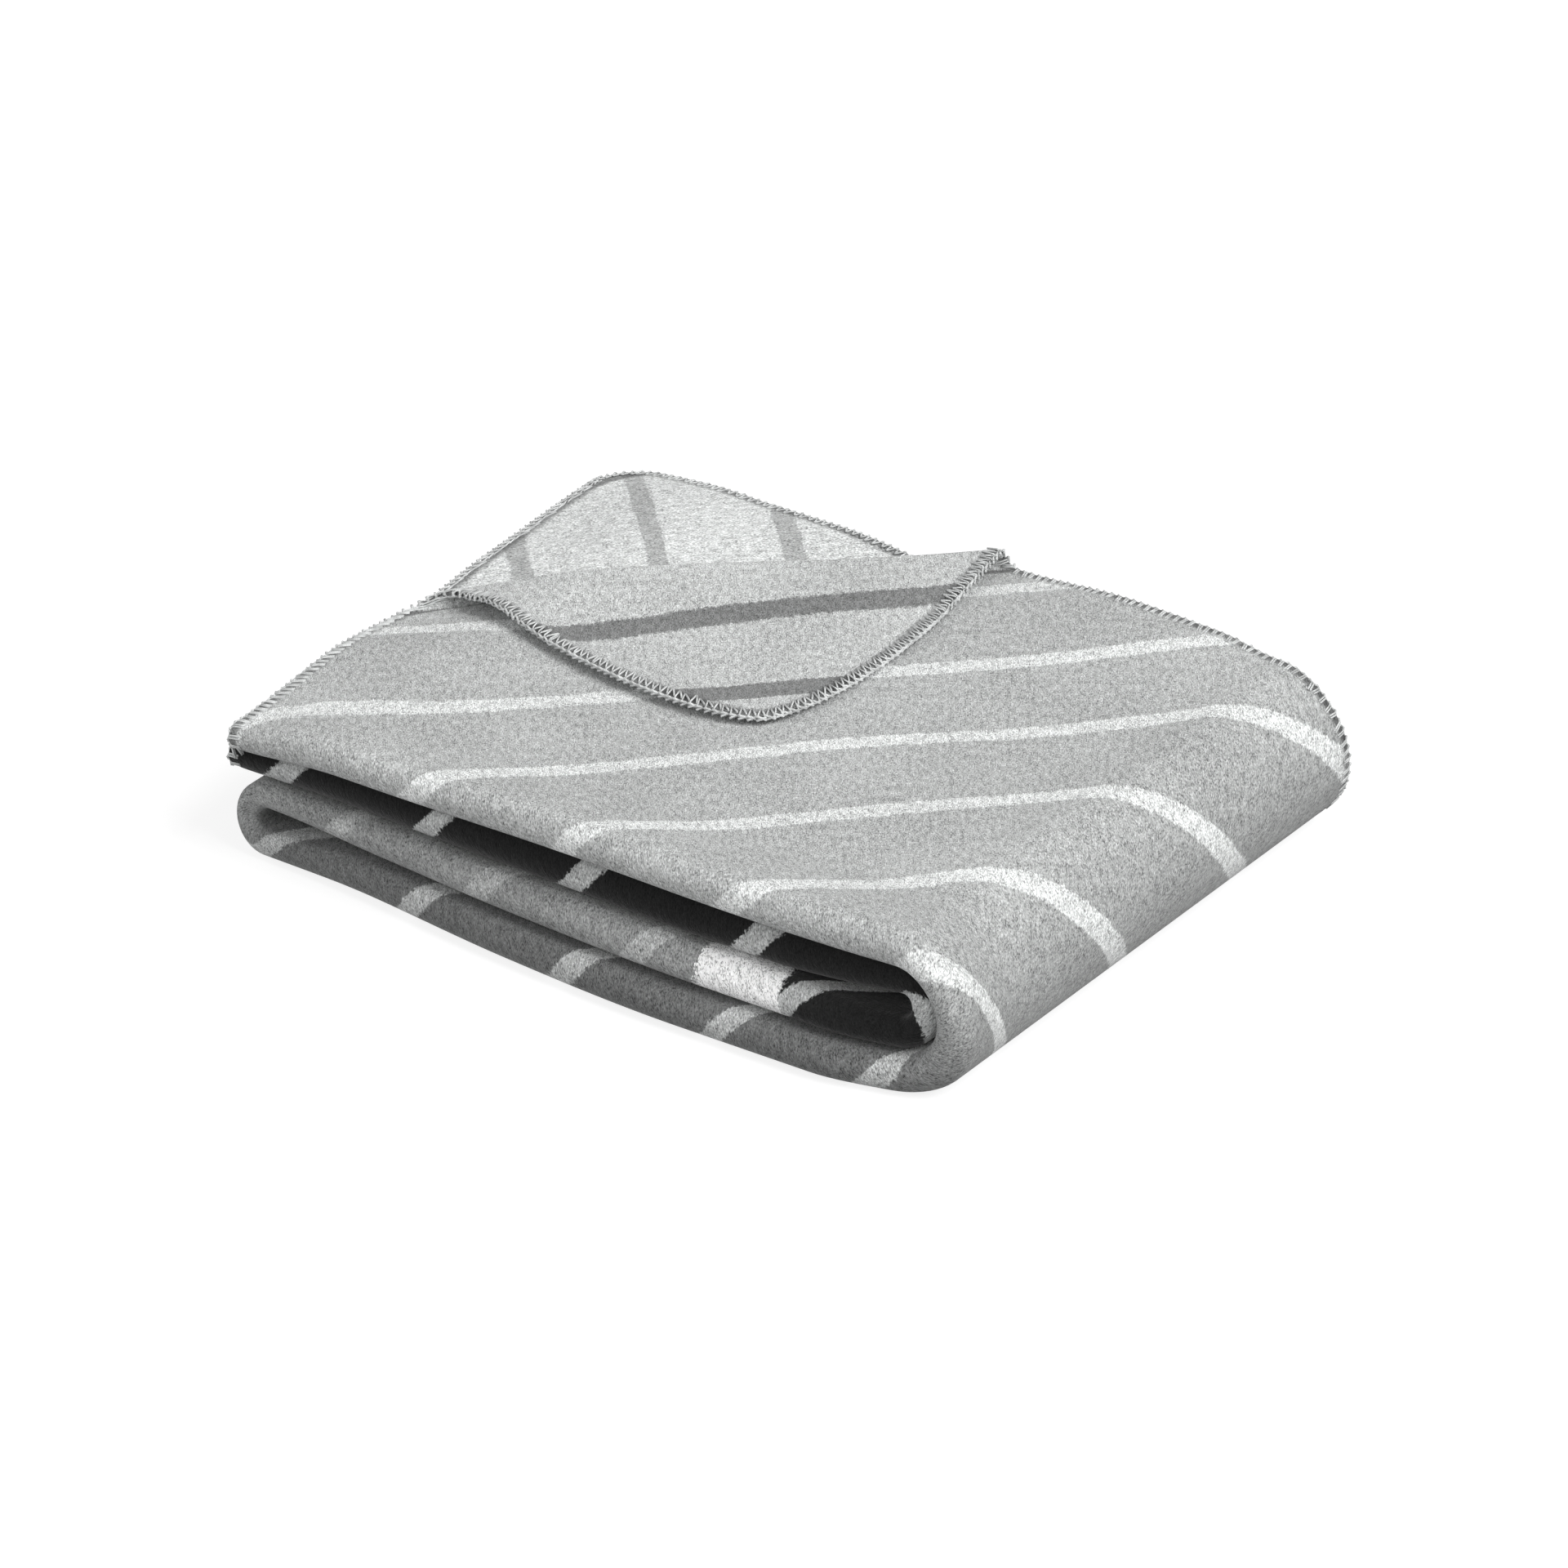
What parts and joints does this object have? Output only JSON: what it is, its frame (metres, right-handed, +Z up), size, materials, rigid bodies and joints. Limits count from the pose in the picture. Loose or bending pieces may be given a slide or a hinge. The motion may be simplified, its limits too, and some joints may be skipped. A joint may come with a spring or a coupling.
{
  "type": "folded throw blanket",
  "caption": "Double-faced napped throw with a diagonal wavy stripe and a stitched yarn edge, folded into a flat pile with its top corner turned down.",
  "frame": {"origin": "centre of the pile's footprint, on the surface that it lies on", "axes": "+X along the pile towards the outer wrap, -X to the two stitched end hems; -Y to the rounded side folds, +Y to the stacked side hems; +Z up"},
  "size_m": [0.5117, 0.4115, 0.105],
  "materials": {
    "throw_fabric": "soft raised nap, matt",
    "edging_yarn": "twisted yarn, matt"
  },
  "bodies": {
    "lower_half": {"edging_c_next": "edging_yarn", "edging_c_top": "edging_yarn", "edging_d_next": "edging_yarn", "edging_d_top": "edging_yarn", "edging_inner_next": "edging_yarn", "edging_inner_top": "edging_yarn", "edging_left_next": "edging_yarn", "edging_left_top": "edging_yarn", "edging_outer_next": "edging_yarn", "edging_outer_top": "edging_yarn", "inner_fold": "throw_fabric", "leaf_c": "throw_fabric", "leaf_d": "throw_fabric", "left_fold": "throw_fabric", "outer_fold": "throw_fabric"},
    "upper_half": {"edging_a_end": "edging_yarn", "edging_a_next": "edging_yarn", "edging_a_top": "edging_yarn", "edging_b_end": "edging_yarn", "edging_b_next": "edging_yarn", "edging_b_top": "edging_yarn", "leaf_a": "throw_fabric", "leaf_b": "throw_fabric", "crease_roll": "throw_fabric"},
    "turned_corner": {"corner_flap": "throw_fabric", "edging_flap": "edging_yarn"}
  },
  "joints": [
    {"name": "top_half_opens", "type": "hinge", "parent": "lower_half", "child": "upper_half", "pos_m": [0.20925, 0, 0.054], "axis": [0, 1, 0], "range_deg": [0, 180], "deforming": ["outer_fold", "inner_fold", "edging_outer_top", "edging_outer_next", "edging_inner_top", "edging_inner_next"]},
    {"name": "corner_turns_back", "type": "hinge", "parent": "upper_half", "child": "turned_corner", "pos_m": [-0.119, 0.08597, 0.09675], "axis": [-0.7539, -0.6569, 0], "range_deg": [0, 180], "deforming": ["crease_roll"]}
  ]
}
